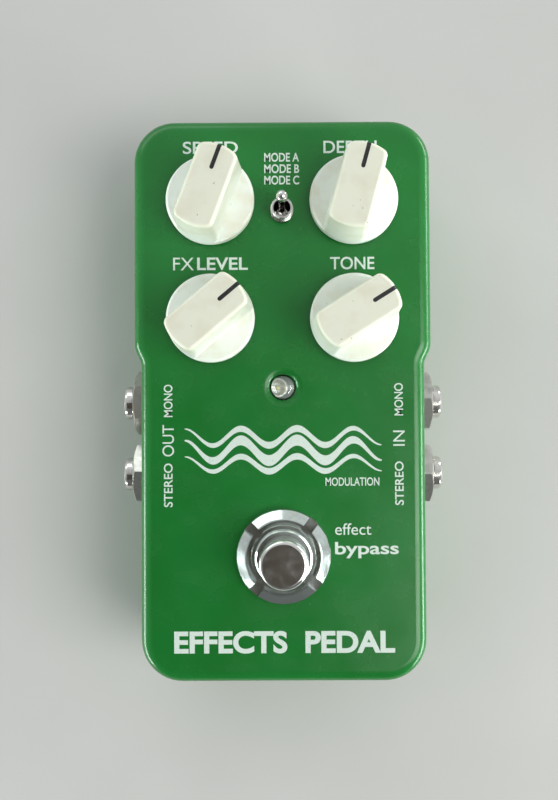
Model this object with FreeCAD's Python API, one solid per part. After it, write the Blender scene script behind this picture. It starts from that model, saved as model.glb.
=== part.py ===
"""Guitar effects pedal: four rotary controls, a three-way mode switch, an indicator and a foot switch
in a die-cast box, with two pairs of 6.35 mm jacks on the sides and two sockets at the rear.

Row frame, in millimetres: X to the right of the player, Y away from the player, Z up.
The origin is on the surface that the pedal stands on, under the middle of the box.
Each function makes one node or one group of like nodes, and keep() writes it to parts/NODE.step.
"""

import math
import os

import FreeCAD
import Part

V = FreeCAD.Vector
X_AXIS, Y_AXIS, Z_AXIS = V(1, 0, 0), V(0, 1, 0), V(0, 0, 1)

# ---- driving dimensions ---------------------------------------------------------------------
BOX_LENGTH = 122.0  # along Y
HALF_WIDE = 32.4  # half width behind the waist, where the rotary controls are
HALF_NARROW = 30.9  # half width in front of the waist, where the jacks are
WAIST_FRONT = 8.0  # Y where the side starts to flare out
WAIST_REAR = 11.2  # Y where the flare ends
CORNER_R = 9.0  # vertical corners of the box
WAIST_REAR_R = 5.0
WAIST_FRONT_R = 2.2
TOP_EDGE_R = 2.6  # rounding all round the top face
WALL = 2.4
TOP_THICK = 2.4
FOOT_H = 2.0
TOP = 34.5  # height of the top face above the floor
KNOB_RISE = 15.5  # top of a knob above the top face

PLATE_THICK = 1.5
PLATE_GAP = 0.3  # all round, between the base plate and the rim of the box
REBATE = 1.2  # how far the base plate is let into the wall
LEDGE_GAP = 0.05

RIM = FOOT_H  # height of the box's lower rim, level with the base plate's underside
PLATE_TOP = RIM + PLATE_THICK
CEILING = TOP - TOP_THICK  # inner face of the top wall
INNER_NARROW = HALF_NARROW - WALL
REAR_Y = BOX_LENGTH / 2

# ---- places ---------------------------------------------------------------------------------
CONTROLS = {  # name: (x, y, pointer angle in degrees, clockwise from the rear)
    "speed": (-15.4, 42.8, 20.5),
    "depth": (15.4, 42.8, 15.5),
    "level": (-15.4, 17.3, 50.0),
    "tone": (15.4, 17.3, 58.0),
}
TOGGLE_Y = 40.7
LED_Y = 2.5
SWITCH_Y = -33.7
PILLAR_Y = -8.6
JACK_Z = 19.0
JACKS = {  # name: (side, y, turn of the hexagon nut in degrees)
    "out_mono": (-1, -0.4, 0.0),
    "out_stereo": (-1, -16.8, 37.0),
    "in_mono": (1, -0.4, 25.5),
    "in_stereo": (1, -16.8, 30.0),
}
DC_X, DC_Z = -13.1, 18.9
USB_X, USB_Z = 11.9, 23.45
BOARD_BOTTOM, BOARD_TOP = 25.4, 27.0
BOARD_SCREWS = [(x, y) for x in (-26.0, 26.0) for y in (30.9, 52.5)]
FEET = [(x, y) for x in (-22.5, 22.5) for y in (-51.0, 51.0)]

# ---- bores and shafts that fit each other ---------------------------------------------------
RUNNING = 0.05  # radial clearance of a shaft that turns or slides
POT_SHAFT_R, POT_THREAD_R = 3.0, 3.5
TOGGLE_OUT_R, TOGGLE_IN_R = 2.38, 1.85
TOGGLE_PIVOT_Z = 33.7
TOGGLE_TILT = 12.0  # degrees from upright, towards the rear
LED_R = 2.5
LED_HOLE_R = 2.8
LED_DISH_R, LED_DISH_ROUNDING = 4.3, 2.3
PLUNGER_R = 5.05
SWITCH_THREAD_R = 6.0
PRESS_TRAVEL = 2.5
JACK_BORE_R, JACK_THREAD_R, JACK_NECK_R, JACK_NOSE_R = 3.25, 4.75, 3.5, 3.8
JACK_THREAD_END, JACK_NOSE_X, JACK_TIP_X = 34.2, 34.5, 36.3
JACK_CHANNEL_R = 3.6
SCREW_R = 2.0


# ---- helpers --------------------------------------------------------------------------------
def box(x0, x1, y0, y1, z0, z1):
    """A block between two values on each axis."""
    return Part.makeBox(x1 - x0, y1 - y0, z1 - z0, V(x0, y0, z0))


def rod(r, z0, z1, x=0.0, y=0.0):
    """An upright cylinder."""
    return Part.makeCylinder(r, z1 - z0, V(x, y, z0))


def tube(r_out, r_in, z0, z1, x=0.0, y=0.0):
    """An upright cylinder with a hole through it."""
    return rod(r_out, z0, z1, x, y).cut(rod(r_in, z0 - 1, z1 + 1, x, y))


def turned(profile, x=0.0, y=0.0):
    """A solid turned about an upright axis from a closed outline of (radius, z) points."""
    wire = Part.makePolygon([V(r, 0, z) for r, z in profile + profile[:1]])
    solid = Part.Face(wire).revolve(V(0, 0, 0), Z_AXIS, 360)
    solid.translate(V(x, y, 0))
    return solid


def hexagon(across_flats, z0, z1, turn=0.0):
    """An upright hexagonal prism about the Z axis, with corners at 30 degrees plus turn."""
    r = across_flats / math.sqrt(3)
    ring = [math.radians(60 * i + 30 + turn) for i in range(7)]
    wire = Part.makePolygon([V(r * math.cos(a), r * math.sin(a), z0) for a in ring])
    return Part.Face(wire).extrude(V(0, 0, z1 - z0))


def nut(across_flats, bore_r, z0, z1, turn=0.0, chamfer=0.45):
    """A hexagon nut about the Z axis, with its corners turned off at the top."""
    corner = across_flats / math.sqrt(3)
    flat = across_flats / 2
    drop = (corner - flat) * chamfer
    envelope = turned(
        [(0, z0), (corner + 0.1, z0), (corner + 0.1, z1 - drop - 0.1), (flat * 0.97, z1), (0, z1)]
    )
    return hexagon(across_flats, z0, z1, turn).common(envelope).cut(rod(bore_r, z0 - 1, z1 + 1))


def out_of_side(shape, side, y, z):
    """Lays an upright shape down along X, so that its top points out of one side of the box."""
    laid = shape.copy()
    laid.rotate(V(0, 0, 0), Y_AXIS, 90 * side)
    laid.translate(V(0, y, z))
    return laid


def mid_arc(centre, radius, start, end):
    """The point halfway along an arc from one point to another about a centre."""
    half = (start - centre) + (end - centre)
    return centre + half.normalize().multiply(radius)


def rounded_wire(corners):
    """A closed wire through (x, y, radius) corners, each rounded by a tangent arc."""
    points = [V(x, y, 0) for x, y, _ in corners]
    count = len(points)
    starts, mids, ends = [], [], []
    for i, (x, y, r) in enumerate(corners):
        before = (points[i - 1] - points[i]).normalize()
        after = (points[(i + 1) % count] - points[i]).normalize()
        half = before.getAngle(after) / 2
        start = points[i] + before * (r / math.tan(half))
        end = points[i] + after * (r / math.tan(half))
        bisector = (before + after).normalize()
        centre = points[i] + bisector * (r / math.sin(half))
        starts.append(start)
        ends.append(end)
        mids.append(mid_arc(centre, r, start, end))
    edges = []
    for i in range(count):
        edges.append(Part.Arc(starts[i], mids[i], ends[i]).toShape())
        edges.append(Part.LineSegment(ends[i], starts[(i + 1) % count]).toShape())
    return Part.Wire(edges)


def waisted_prism(inset, z0, z1):
    """The box's plan, drawn in by an even margin, as an upright prism."""
    slope = math.atan2(HALF_WIDE - HALF_NARROW, WAIST_REAR - WAIST_FRONT)
    shift = inset * math.tan(slope / 2)
    wide, narrow, end = HALF_WIDE - inset, HALF_NARROW - inset, REAR_Y - inset
    right = [
        (narrow, -end, CORNER_R - inset),
        (narrow, WAIST_FRONT + shift, WAIST_FRONT_R + inset),
        (wide, WAIST_REAR + shift, WAIST_REAR_R - inset),
        (wide, end, CORNER_R - inset),
    ]
    left = [(-x, y, r) for x, y, r in reversed(right)]
    wire = rounded_wire(right + left)
    wire.translate(V(0, 0, z0))
    return Part.Face(wire).extrude(V(0, 0, z1 - z0))


def edges_at_height(shape, z):
    """The edges that lie wholly at one height."""
    return [e for e in shape.Edges if abs(e.BoundBox.ZMin - z) < 1e-4 and abs(e.BoundBox.ZMax - z) < 1e-4]


def wire_run(points, bend_r, wire_r):
    """A round insulated wire along straight runs joined by tangent arcs."""
    edges = []
    at = points[0]
    for i in range(1, len(points) - 1):
        before = (points[i - 1] - points[i]).normalize()
        after = (points[i + 1] - points[i]).normalize()
        half = before.getAngle(after) / 2
        start = points[i] + before * (bend_r / math.tan(half))
        end = points[i] + after * (bend_r / math.tan(half))
        centre = points[i] + (before + after).normalize() * (bend_r / math.sin(half))
        edges.append(Part.LineSegment(at, start).toShape())
        edges.append(Part.Arc(start, mid_arc(centre, bend_r, start, end), end).toShape())
        at = end
    edges.append(Part.LineSegment(at, points[-1]).toShape())
    spine = Part.Wire(edges)
    section = Part.Wire([Part.Circle(points[0], points[1] - points[0], wire_r).toShape()])
    solid = spine.makePipeShell([section], True, False)
    expected = math.pi * wire_r**2 * spine.Length
    print(f"  wire run {spine.Length:.1f} mm, volume {abs(solid.Volume) / expected:.3f} of expected")
    return solid


def keep(name, *solids):
    """Checks that every solid of a node is sound, and writes the node's STEP file."""
    flat = [s for shape in solids for s in shape.Solids]
    for s in flat:
        if not s.isValid() or s.Volume <= 0:
            raise ValueError(f"{name}: a solid isn't valid or is inside out")
    shape = flat[0] if len(flat) == 1 else Part.makeCompound(flat)
    shape.exportStep(f"parts/{name}.step")
    print(f"{name}: {len(flat)} solids, {sum(s.Volume for s in flat):.1f} mm3")


# ---- casing ---------------------------------------------------------------------------------
def led_dish():
    """The shallow dish around the indicator: the hole's edge rounded until it meets the top face."""

    def on_rounding(r):
        across = LED_DISH_R - r
        return V(r, 0, TOP - LED_DISH_ROUNDING + math.sqrt(LED_DISH_ROUNDING**2 - across**2))

    low, middle, rim = [on_rounding(r) for r in (LED_HOLE_R, (LED_HOLE_R + LED_DISH_R) / 2, LED_DISH_R)]
    rest = Part.makePolygon([rim, V(LED_DISH_R, 0, TOP + 1), V(0, 0, TOP + 1), V(0, 0, low.z), low])
    outline = Part.Wire([Part.Arc(low, middle, rim).toShape()] + rest.Edges)
    dish = Part.Face(outline).revolve(V(0, 0, 0), Z_AXIS, 360)
    dish.translate(V(0, LED_Y, 0))
    return dish


def jack_hole(side, y):
    """The hole in a side wall for a jack's threaded sleeve."""
    reach = rod(JACK_THREAD_R + 0.1, INNER_NARROW - 4, HALF_WIDE + 4)
    return out_of_side(reach, side, y, JACK_Z)


def enclosure():
    """The die-cast box: top and side walls, bosses for the board and the pillar for the base screw."""
    shell = waisted_prism(0, RIM, TOP)
    shell = shell.makeFillet(TOP_EDGE_R, edges_at_height(shell, TOP))
    shell = shell.cut(waisted_prism(WALL, RIM - 1, CEILING))
    shell = shell.cut(waisted_prism(REBATE, RIM - 1, PLATE_TOP + LEDGE_GAP))
    pillar = rod(3.6, PLATE_TOP + 1.05, CEILING + 0.5, 0, PILLAR_Y)
    bosses = [rod(2.7, BOARD_TOP, CEILING + 0.5, x, y) for x, y in BOARD_SCREWS]
    shell = shell.fuse([pillar] + bosses)
    holes = [rod(SCREW_R + RUNNING, PLATE_TOP, PLATE_TOP + 15, 0, PILLAR_Y)]
    holes += [rod(1.05, BOARD_TOP - 1, CEILING - 0.6, x, y) for x, y in BOARD_SCREWS]
    holes += [rod(POT_THREAD_R + 0.15, CEILING - 1, TOP + 1, x, y) for x, y, _ in CONTROLS.values()]
    holes.append(rod(TOGGLE_OUT_R + 0.12, CEILING - 1, TOP + 1, 0, TOGGLE_Y))
    holes.append(rod(LED_HOLE_R, CEILING - 1, TOP + 1, 0, LED_Y))
    holes.append(led_dish())
    holes.append(rod(SWITCH_THREAD_R + 0.15, CEILING - 1, TOP + 1, 0, SWITCH_Y))
    holes += [jack_hole(side, y) for side, y, _ in JACKS.values()]
    dc_hole = Part.makeCylinder(4.65, WALL + 2, V(DC_X, REAR_Y - WALL - 1, DC_Z), Y_AXIS)
    usb_hole = box(USB_X - 4.5, USB_X + 4.5, REAR_Y - WALL - 1, REAR_Y + 1, USB_Z - 2.6, USB_Z + 2.6)
    usb_hole = usb_hole.makeFillet(1.2, [e for e in usb_hole.Edges if e.BoundBox.YLength > 2])
    return shell.cut(holes + [dc_hole, usb_hole])


def base_plate():
    """The steel plate that closes the box, with a pressed dish for the base screw's head."""
    plate = waisted_prism(REBATE + PLATE_GAP, RIM, PLATE_TOP)
    plate = plate.fuse(rod(10.2, PLATE_TOP - 0.1, PLATE_TOP + 1.0, 0, PILLAR_Y))
    return plate.cut([rod(9.0, RIM - 1, RIM + 1.0, 0, PILLAR_Y), rod(2.4, RIM, TOP, 0, PILLAR_Y)])


def base_screw():
    """The coin screw that holds the base plate: knurled head with a slot, and a threaded shank."""
    z0, z1 = 0.7, 2.6
    head = turned([(0, z0), (7.6, z0), (8.0, z0 + 0.4), (8.0, z1), (0, z1)], 0, PILLAR_Y)
    grooves = []
    knurls = 36
    for i in range(knurls):
        a = 2 * math.pi * i / knurls
        grooves.append(rod(0.28, z0 - 1, z1 + 1, 8.05 * math.cos(a), PILLAR_Y + 8.05 * math.sin(a)))
    slot = box(-9, 9, PILLAR_Y - 0.8, PILLAR_Y + 0.8, z0 - 1, z0 + 1.0)
    shank = rod(SCREW_R, z1 - 0.1, PLATE_TOP + 12, 0, PILLAR_Y)
    return head.cut(grooves + [slot]).fuse(shank)


def base_screw_washer():
    """The nylon washer that keeps the base screw on the plate."""
    return tube(4.6, 2.1, 2.6, RIM + 1.0, 0, PILLAR_Y)


def rubber_foot(x, y):
    """One round foot, slightly tapered, with a shallow cup underneath."""
    foot = turned([(0, 0), (4.9, 0), (5.5, 0.6), (5.5, FOOT_H), (0, FOOT_H)], x, y)
    return foot.cut(rod(2.6, -1, 0.5, x, y))


# ---- rotary controls ------------------------------------------------------------------------
KNOB_GAP = 1.0  # between the top face and the knob's skirt
KNOB_R = 9.45
GRIP_TOP_R = 8.7
GRIP_ROOT_HALF, GRIP_TOP_HALF = 4.75, 4.2  # half widths of the grip at its root and top
SHAFT_FLAT = 1.5  # from the shaft's axis to its flat
POINTER_WIDTH, POINTER_DEPTH = 0.86, 0.35


def knob_grip(bottom, top):
    """The bar across the knob, which narrows upwards and has round ends flush with the skirt."""
    ends = Part.makeCone(KNOB_R, GRIP_TOP_R, top - bottom, V(0, 0, bottom))
    section = [(-GRIP_ROOT_HALF, bottom), (GRIP_ROOT_HALF, bottom), (GRIP_TOP_HALF, top), (-GRIP_TOP_HALF, top)]
    wire = Part.makePolygon([V(x, -KNOB_R - 1, z) for x, z in section + section[:1]])
    bar = Part.Face(wire).extrude(V(0, 2 * KNOB_R + 2, 0)).common(ends)
    upright = [e for e in bar.Edges if e.BoundBox.ZLength > (top - bottom) * 0.9]
    bar = bar.makeFillet(1.5, upright)
    return bar.makeFillet(0.8, edges_at_height(bar, top))


def knob_blank():
    """A knob about the Z axis with its pointer towards +Y: round skirt, bar grip and hollow underside."""
    z0, z1 = TOP + KNOB_GAP, TOP + KNOB_RISE
    skirt = turned(
        [(0, z0), (KNOB_R, z0), (KNOB_R, z0 + 2.2), (KNOB_R - 0.5, z0 + 2.8), (5.0, z0 + 3.6), (0, z0 + 3.8)]
    )
    body = skirt.fuse(knob_grip(z0 + 1.5, z1))
    hollow = turned([(0, z0 - 1), (8.3, z0 - 1), (8.1, z0 + 1.6), (0, z0 + 1.6)])
    pocket = rod(6.3, z0, z0 + 2.4)
    shaft_hole = rod(POT_SHAFT_R, z0, z1 - 2.5).cut(box(-4, 4, -4, -SHAFT_FLAT, z0 + 2.4, z1))
    return body.cut([hollow, pocket, shaft_hole, pointer_groove(z1)])


def pointer_groove(z1):
    """The painted groove of the pointer, along the grip's top and down its front end."""
    half, start = POINTER_WIDTH / 2, 3.7
    along_top = box(-half, half, start, KNOB_R + 1, z1 - POINTER_DEPTH, z1 + 1)
    round_end = rod(half, z1 - POINTER_DEPTH, z1 + 1, 0, start)
    down_end = box(-half, half, GRIP_TOP_R - POINTER_DEPTH, KNOB_R + 1, z1 - 5.0, z1)
    return along_top.fuse([round_end, down_end])


def pointer_blank():
    """The black filling of the pointer groove."""
    z1 = TOP + KNOB_RISE
    return knob_grip(TOP + KNOB_GAP + 1.5, z1).common(pointer_groove(z1))


def pot_shaft_blank():
    """The potentiometer's D-shaped shaft, with the flat towards -Y."""
    shaft = rod(POT_SHAFT_R - 0.02, CEILING - 1.5, TOP + KNOB_RISE - 2.7)
    return shaft.cut(box(-4, 4, -4, 0.02 - SHAFT_FLAT, TOP + KNOB_GAP + 2.3, TOP + KNOB_RISE))


def placed(shape, control):
    """A blank of a rotary control, turned and moved to its place."""
    x, y, angle = CONTROLS[control]
    there = shape.copy()
    there.rotate(V(0, 0, 0), Z_AXIS, -angle)
    there.translate(V(x, y, 0))
    return there


def pot_body(x, y):
    """A potentiometer's square case on the board, with the hollow that its shaft turns in."""
    case = box(x - 4.9, x + 4.9, y - 5.4, y + 5.4, BOARD_TOP, CEILING - 0.2)
    case = case.makeFillet(0.5, [e for e in case.Edges if e.BoundBox.ZLength > 3])
    return case.cut(rod(POT_SHAFT_R + 0.3, CEILING - 1.7, CEILING, x, y))


def pot_bushing(x, y):
    """The threaded brass bush that the shaft turns in."""
    return tube(POT_THREAD_R, POT_SHAFT_R + RUNNING, CEILING - 0.2, TOP + 3.0, x, y)


def pot_nut(x, y):
    """The thin nut under each knob."""
    shape = nut(10.0, POT_THREAD_R + 0.02, TOP + 0.5, TOP + 2.5)
    shape.translate(V(x, y, 0))
    return shape


def pot_washer(x, y):
    """The washer under each potentiometer nut."""
    return tube(5.6, POT_THREAD_R + 0.1, TOP, TOP + 0.5, x, y)


# ---- mode switch and indicator --------------------------------------------------------------
def toggle_body():
    """The switch's case under the top wall, hollow where the lever swings."""
    case = box(-3.6, 3.6, TOGGLE_Y - 4.2, TOGGLE_Y + 4.2, BOARD_TOP, CEILING - 0.2)
    return case.cut(rod(2.0, BOARD_TOP + 1.2, CEILING, 0, TOGGLE_Y))


def toggle_bushing():
    """The switch's round bush, with a rounded lip around the lever."""
    z0, z1 = CEILING - 0.2, TOP + 3.8
    profile = [(TOGGLE_IN_R, z0), (TOGGLE_OUT_R, z0), (TOGGLE_OUT_R, z1 - 0.25), (TOGGLE_OUT_R - 0.25, z1)]
    return turned(profile + [(TOGGLE_IN_R, z1)], 0, TOGGLE_Y)


def toggle_lever():
    """The bat lever with its pivot ball and cross pin, tilted to the rear position."""
    z = TOGGLE_PIVOT_Z
    bat = turned([(0, z - 3.0), (0.5, z - 3.0), (0.7, z), (0.7, z + 4.4), (1.2, z + 8.0), (0, z + 8.0)])
    tip = Part.makeSphere(1.28, V(0, 0, z + 8.0))
    ball = Part.makeSphere(1.35, V(0, 0, z))
    pin = Part.makeCylinder(0.4, 2 * TOGGLE_IN_R - 0.2, V(-TOGGLE_IN_R + 0.1, 0, z), X_AXIS)
    lever = bat.fuse([tip, ball, pin])
    lever.rotate(V(0, 0, z), X_AXIS, -TOGGLE_TILT)
    lever.translate(V(0, TOGGLE_Y, 0))
    return lever


def led_lens():
    """The clear indicator: flanged base, round body and domed end."""
    base, dome = BOARD_TOP + 1.0, TOP - 0.2
    flange = rod(2.9, base, base + 1.0, 0, LED_Y)
    body = rod(LED_R, base, dome, 0, LED_Y)
    return flange.fuse([body, Part.makeSphere(LED_R, V(0, LED_Y, dome))])


def led_leads():
    """The indicator's two legs, soldered through the board."""
    return [rod(0.28, BOARD_BOTTOM - 0.8, BOARD_TOP + 1.0, x, LED_Y) for x in (-1.27, 1.27)]


def led_spacer():
    """The spacer that sets the indicator's height, with holes for its legs."""
    return rod(2.9, BOARD_TOP, BOARD_TOP + 1.0, 0, LED_Y).cut(
        [rod(0.34, BOARD_TOP - 1, BOARD_TOP + 2, x, LED_Y) for x in (-1.27, 1.27)]
    )


# ---- foot switch ----------------------------------------------------------------------------
CROWN_R = 10.1
CROWN_TOP = TOP + 3.6
CROWN_TURN = 49.5  # degrees that the first slot is turned from the X axis
SWITCH_FLANGE_Z = 24.6  # where the bush is clamped into the switch's housing
SWITCH_FLOOR = 12.6
PLUNGER_BOTTOM = 18.0
PLUNGER_TOP = TOP + 15.0
PLUNGER_ROUNDING = 0.9


def footswitch_bushing():
    """The threaded bush, with the flange that holds it on the housing."""
    z0 = SWITCH_FLANGE_Z
    bore = PLUNGER_R + RUNNING
    profile = [(bore, z0), (7.4, z0), (7.4, z0 + 1.4), (SWITCH_THREAD_R, z0 + 1.4)]
    profile += [(SWITCH_THREAD_R, TOP + 5.0), (SWITCH_THREAD_R - 0.3, TOP + 5.3), (bore, TOP + 5.3)]
    return turned(profile, 0, SWITCH_Y)


def footswitch_crown_nut():
    """The round dress nut: sloping outer ring, inner collar, and four slots for a spanner."""
    hole = SWITCH_THREAD_R + 0.02
    floor = TOP + 1.2
    profile = [(hole, TOP), (CROWN_R - 0.2, TOP), (CROWN_R, TOP + 0.2), (CROWN_R, TOP + 1.95)]
    profile += [(CROWN_R - 0.15, TOP + 2.2), (8.2, CROWN_TOP - 0.08), (8.0, CROWN_TOP), (7.85, CROWN_TOP - 0.1)]
    profile += [(7.8, floor), (7.0, floor), (7.0, CROWN_TOP - 0.3), (6.8, CROWN_TOP - 0.1), (hole, CROWN_TOP - 0.1)]
    crown = turned(profile)
    slots = []
    for i in range(4):
        slot = box(6.5, CROWN_R + 1, -1.15, 1.15, floor - 0.001, CROWN_TOP + 1)
        slot.rotate(V(0, 0, 0), Z_AXIS, CROWN_TURN + 90 * i)
        slots.append(slot)
    crown = crown.cut(slots)
    crown.translate(V(0, SWITCH_Y, 0))
    return crown


def footswitch_lock_nut():
    """The nut inside the box that sets how far the bush stands out."""
    shape = nut(15.0, SWITCH_THREAD_R + 0.02, CEILING - 3.2, CEILING - 0.6, 30.0)
    shape.translate(V(0, SWITCH_Y, 0))
    return shape


def footswitch_lock_washer():
    """The toothed washer between the lock nut and the top wall."""
    washer = tube(8.6, SWITCH_THREAD_R + 0.1, CEILING - 0.6, CEILING)
    teeth = []
    for i in range(12):
        notch = box(7.4, 9.5, -0.45, 0.45, CEILING - 1, CEILING + 1)
        notch.rotate(V(0, 0, 0), Z_AXIS, 30 * i)
        teeth.append(notch)
    washer = washer.cut(teeth)
    washer.translate(V(0, SWITCH_Y, 0))
    return washer


def footswitch_housing():
    """The switch's moulded housing, with the well that the plunger and its spring work in."""
    case = box(-7.6, 7.6, SWITCH_Y - 7.6, SWITCH_Y + 7.6, 11.0, SWITCH_FLANGE_Z)
    case = case.makeFillet(0.8, [e for e in case.Edges if e.BoundBox.ZLength > 5])
    return case.cut(rod(5.5, SWITCH_FLOOR, SWITCH_FLANGE_Z + 1, 0, SWITCH_Y))


def footswitch_plunger():
    """The steel button: flat top with a rounded edge, and a collar that stops it under the bush."""
    r = PLUNGER_R
    stop = SWITCH_FLANGE_Z - 0.1
    profile = [(0, PLUNGER_BOTTOM), (r, PLUNGER_BOTTOM), (r, stop - 1.5), (r + 0.25, stop - 1.5)]
    profile += [(r + 0.25, stop), (r, stop), (r, PLUNGER_TOP), (0, PLUNGER_TOP)]
    stem = turned(profile, 0, SWITCH_Y)
    stem = stem.makeFillet(PLUNGER_ROUNDING, edges_at_height(stem, PLUNGER_TOP))
    return stem.cut(rod(2.2, PLUNGER_BOTTOM - 1, PLUNGER_BOTTOM + 3, 0, SWITCH_Y))


def footswitch_spring():
    """The return spring, wound between the housing's floor and the plunger from ten-sided wire."""
    wire_r, coil_r, turns, sides = 0.42, 3.6, 3.0, 10
    z0, z1 = SWITCH_FLOOR + wire_r + 0.05, PLUNGER_BOTTOM - wire_r - 0.05
    helix = Part.makeHelix((z1 - z0) / turns, z1 - z0, coil_r)
    corners = [2 * math.pi * i / sides for i in range(sides)]
    outline = [V(coil_r + wire_r * math.cos(a), 0, wire_r * math.sin(a)) for a in corners]
    section = Part.makePolygon(outline + outline[:1])
    coil = Part.Wire(helix).makePipeShell([section], True, True)
    coil.translate(V(0, SWITCH_Y, z0))
    return coil


def footswitch_lugs():
    """The two solder lugs under the housing."""
    lug = [box(x - 1.1, x + 1.1, SWITCH_Y - 0.4, SWITCH_Y + 0.4, 7.8, 11.0) for x in (-3.0, 3.0)]
    return [s.cut(Part.makeCylinder(0.5, 2, V(s.BoundBox.Center.x, SWITCH_Y - 1, 8.9), Y_AXIS)) for s in lug]


def footswitch_leads():
    """The two wires from the lugs to the underside of the board."""
    runs = []
    for x in (-3.0, 3.0):
        end = math.copysign(1.6, x)
        route = [V(x, SWITCH_Y + 0.45, 9.2), V(x, -24.6, 8.2), V(end, -20.5, 9.6), V(end, -20.5, BOARD_BOTTOM)]
        runs.append(wire_run(route, 2.2, 0.55))
    return runs


# ---- jacks ----------------------------------------------------------------------------------
def jack_ferrule():
    """A jack's metal sleeve about the Z axis: inner flange, thread, neck and rounded nose."""
    z = INNER_NARROW
    profile = [(JACK_BORE_R, z - 1.4), (6.2, z - 1.4), (6.2, z - 0.2), (JACK_THREAD_R, z - 0.2)]
    profile += [(JACK_THREAD_R, JACK_THREAD_END), (JACK_NECK_R, JACK_THREAD_END), (JACK_NECK_R, JACK_NOSE_X)]
    profile += [(JACK_NOSE_R, JACK_NOSE_X + 0.1), (JACK_NOSE_R, JACK_TIP_X - 0.6), (3.65, JACK_TIP_X - 0.2)]
    profile += [(3.45, JACK_TIP_X), (3.35, JACK_TIP_X), (JACK_BORE_R, JACK_TIP_X - 0.1)]
    return turned(profile)


def jack_nut(turn):
    """A jack's half-inch hexagon nut about the Z axis."""
    return nut(12.7, JACK_THREAD_R + 0.02, HALF_NARROW + 0.5, HALF_NARROW + 3.1, turn, 0.6)


def jack_washer():
    """The washer between a jack's nut and the box."""
    return tube(7.1, JACK_THREAD_R + 0.1, HALF_NARROW, HALF_NARROW + 0.5)


def jack_housing(side, y):
    """A jack's moulded housing under the board: the plug's channel and the wells of its contacts."""
    inner, outer = 5.0, INNER_NARROW - 0.2
    case = box(inner, outer, y - 7.9, y + 7.9, JACK_Z - 6.4, BOARD_BOTTOM)
    case = case.makeFillet(0.8, [e for e in case.Edges if e.BoundBox.XLength > 5])
    channel = rod(JACK_CHANNEL_R, inner + 1.6, outer + 1)
    channel = channel.fuse(rod(6.25, outer - 1.3, outer + 1))
    channel = out_of_side(channel, 1, y, JACK_Z)
    wells = [box(8.0, 15.0, y - 1.4, y + 1.4, JACK_Z, JACK_Z + 5.4)]
    wells.append(box(15.5, 22.5, y - 1.4, y + 1.4, JACK_Z - 5.4, JACK_Z))
    case = case.cut([channel] + wells)
    if side < 0:
        case = case.mirror(V(0, 0, 0), X_AXIS)
    return case


def jack_contacts(side, y):
    """The tip and sleeve leaf springs of one jack, each bent towards the plug."""
    leaves = []
    for x, up in ((8.4, 1), (15.9, -1)):
        bend = [(x, 4.9), (x + 3.1, 2.5), (x + 6.2, 4.9), (x + 6.2, 5.3), (x + 3.1, 2.95), (x, 5.3)]
        wire = Part.makePolygon([V(side * a, y - 1.1, JACK_Z + up * b) for a, b in bend + bend[:1]])
        leaves.append(Part.Face(wire).extrude(V(0, 2.2, 0)))
    return leaves


# ---- rear sockets ---------------------------------------------------------------------------
def dc_socket():
    """The power socket: block under the board, round nose through the rear wall and a bore for the plug."""
    face = REAR_Y - WALL - 0.1
    block = box(DC_X - 4.5, DC_X + 4.5, face - 13.0, face, DC_Z - 5.0, BOARD_BOTTOM)
    nose = Part.makeCylinder(4.4, REAR_Y - 0.3 - face + 1, V(DC_X, face - 1, DC_Z), Y_AXIS)
    bore = Part.makeCylinder(3.2, 20, V(DC_X, REAR_Y - 0.3 - 9.6, DC_Z), Y_AXIS)
    return block.fuse(nose).cut(bore)


def dc_socket_pin():
    """The power socket's centre pin with its domed end."""
    start, end = REAR_Y - 0.3 - 9.6, REAR_Y - 1.4
    pin = Part.makeCylinder(1.05, end - start, V(DC_X, start, DC_Z), Y_AXIS)
    return pin.fuse(Part.makeSphere(1.05, V(DC_X, end, DC_Z)))


def usb_socket():
    """The data socket: a folded metal shell around a plastic tongue."""
    face = REAR_Y - 1.2
    shell = box(USB_X - 3.9, USB_X + 3.9, face - 9.2, face, USB_Z - 1.95, USB_Z + 1.95)
    shell = shell.makeFillet(0.7, [e for e in shell.Edges if e.BoundBox.YLength > 5])
    hollow = box(USB_X - 3.5, USB_X + 3.5, face - 8.6, face + 1, USB_Z - 1.55, USB_Z + 1.55)
    tongue = box(USB_X - 2.3, USB_X + 2.3, face - 8.6, face - 2.0, USB_Z - 0.1, USB_Z + 0.7)
    return [shell.cut(hollow), tongue]


# ---- board, battery and what is on them -----------------------------------------------------
def main_board():
    """The circuit board under the top wall, cut away around the foot switch and the pillar."""
    board = waisted_prism(WALL + 0.6, BOARD_BOTTOM, BOARD_TOP)
    board = board.common(box(-40, 40, -25.2, 57.4, 0, 40))
    holes = [rod(4.2, 0, 40, 0, PILLAR_Y)]
    holes += [rod(1.3, 0, 40, x, y) for x, y in BOARD_SCREWS]
    holes += [rod(0.4, 0, 40, x, LED_Y) for x in (-1.27, 1.27)]
    return board.cut(holes)


def board_screw(x, y):
    """A pan-head screw that holds the board to a boss of the box."""
    z = BOARD_BOTTOM
    head = turned([(0, z - 1.6), (1.4, z - 1.6), (2.2, z - 0.9), (2.2, z), (0, z)], x, y)
    cross = [box(x - 1.3, x + 1.3, y - 0.25, y + 0.25, z - 2, z - 0.9)]
    cross.append(box(x - 0.25, x + 0.25, y - 1.3, y + 1.3, z - 2, z - 0.9))
    return head.cut(cross).fuse(rod(1.0, z - 0.1, CEILING - 1.2, x, y))


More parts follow.
